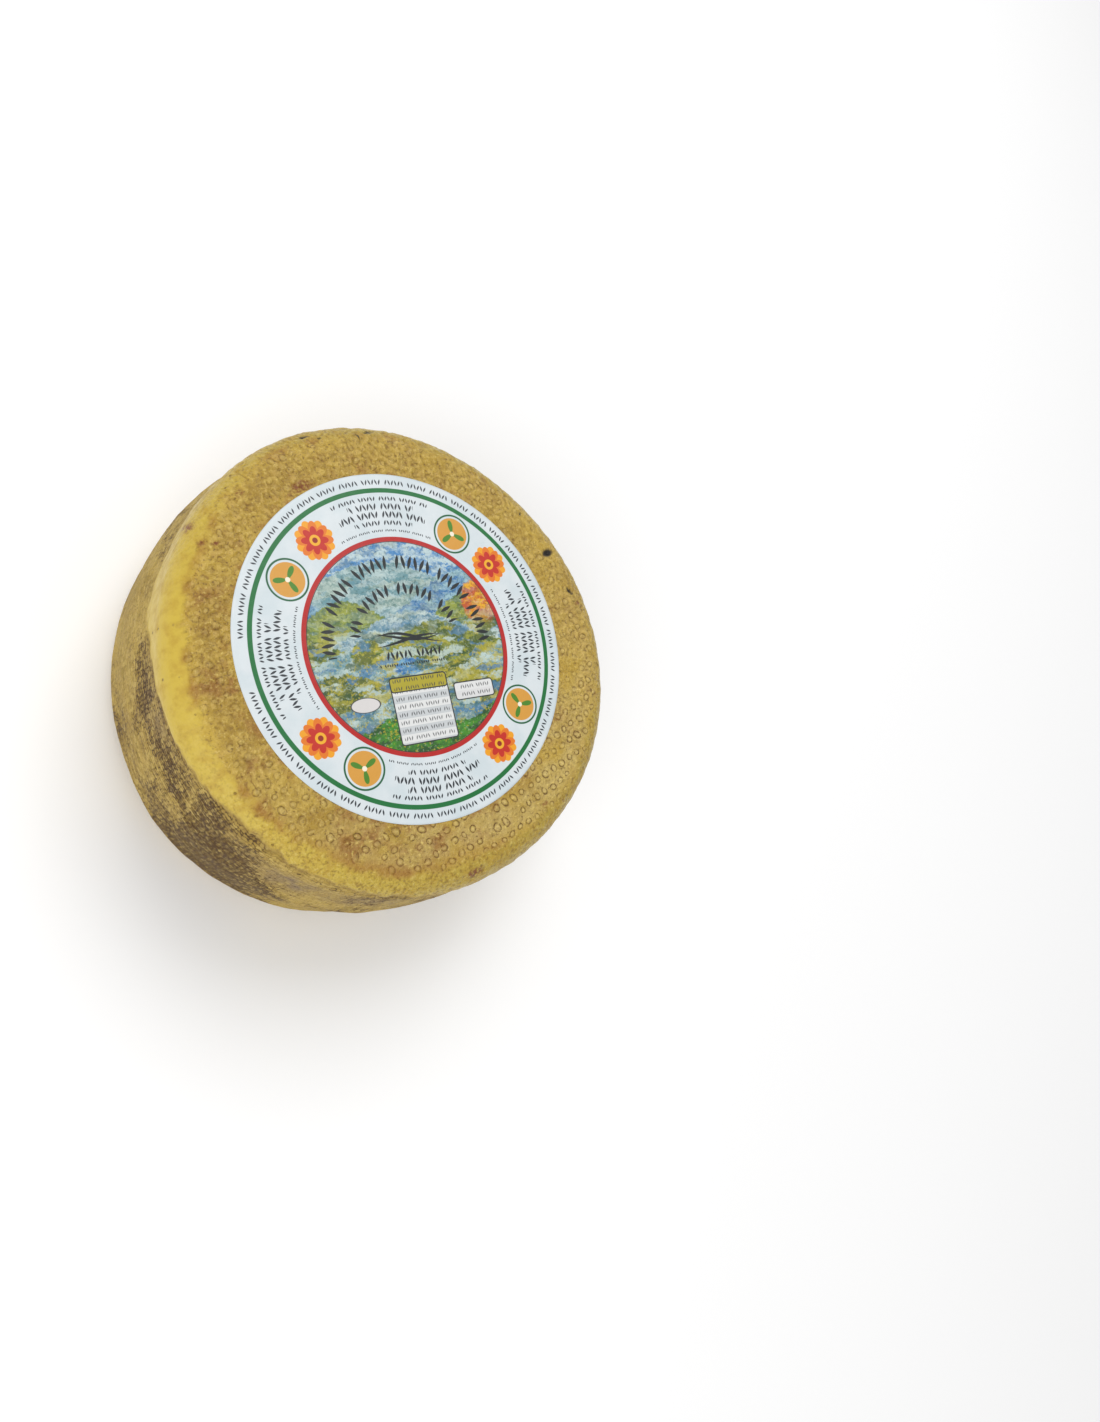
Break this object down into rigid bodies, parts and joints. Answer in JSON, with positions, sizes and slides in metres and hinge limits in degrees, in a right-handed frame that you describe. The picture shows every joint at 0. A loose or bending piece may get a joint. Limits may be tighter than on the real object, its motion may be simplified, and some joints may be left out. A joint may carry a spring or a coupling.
{
  "type": "cheese wheel",
  "caption": "Whole wheel of aged hard cheese with a barrel-shaped side, rounded edges, a nubbly rind and a round paper label on its upper face.",
  "frame": {"origin": "middle of the face that the wheel rests on", "axes": "+Z along the wheel's axis, up through the labelled face; +Y towards the top of the label's picture, +X to its right"},
  "size_m": [0.2, 0.2, 0.0872],
  "materials": {
    "rind": "oiled aged cheese rind, golden ochre with brown and olive stains, satin",
    "label_paper": "coated food paper, white with a printed picture and rings, semi-matt"
  },
  "bodies": {
    "root": {"cheese_wheel": "rind", "paper_label": "label_paper"}
  },
  "joints": []
}
